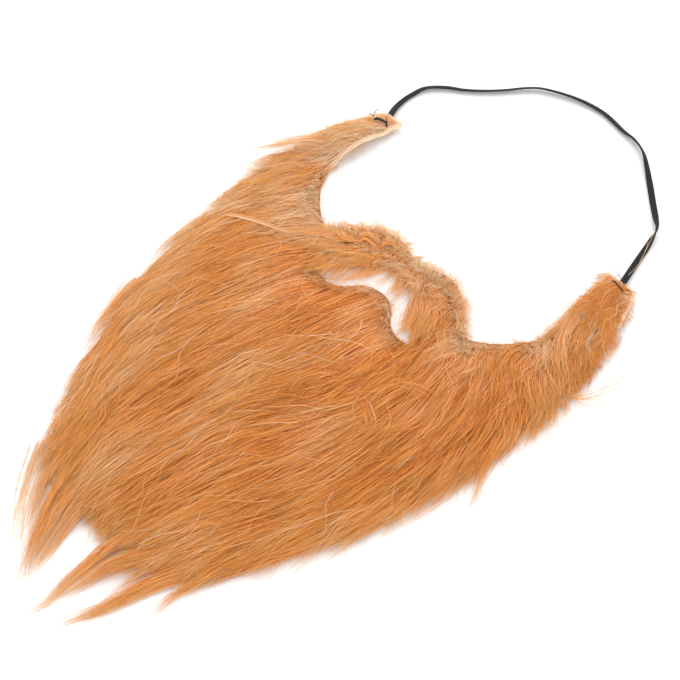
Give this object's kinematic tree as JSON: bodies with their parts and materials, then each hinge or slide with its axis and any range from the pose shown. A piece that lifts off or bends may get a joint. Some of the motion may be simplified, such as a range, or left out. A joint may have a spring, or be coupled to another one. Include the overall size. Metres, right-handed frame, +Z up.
{
  "type": "costume beard",
  "caption": "Long-pile ginger costume beard with moustache, open mouth and sideburn tabs, lying flat with its elastic band laid in a loop.",
  "frame": {"origin": "middle of the lying beard's bounding box, without the elastic, at table level", "axes": "+Y from the chin's hair tips up to the sideburn tabs, +X across to the wearer's left, +Z up out of the fur side, away from the table"},
  "size_m": [0.2643, 0.4786, 0.0143],
  "materials": {
    "backing_cloth": "matt knitted backing of the fur cloth, pale where it is cut",
    "ginger_pile": "combed acrylic fur with a soft silky sheen, ginger with darker roots",
    "black_elastic": "flat woven black elastic, fine lengthwise ribs",
    "black_thread": "black sewing thread, slightly glossy",
    "staple_steel": "bright zinc-plated wire"
  },
  "bodies": {
    "root": {"fur_backing": "backing_cloth", "fur_pile": "ginger_pile", "elastic_band": "black_elastic", "stitch_left": "black_thread", "stitch_right": "black_thread", "tab_staple": "staple_steel"}
  },
  "joints": []
}
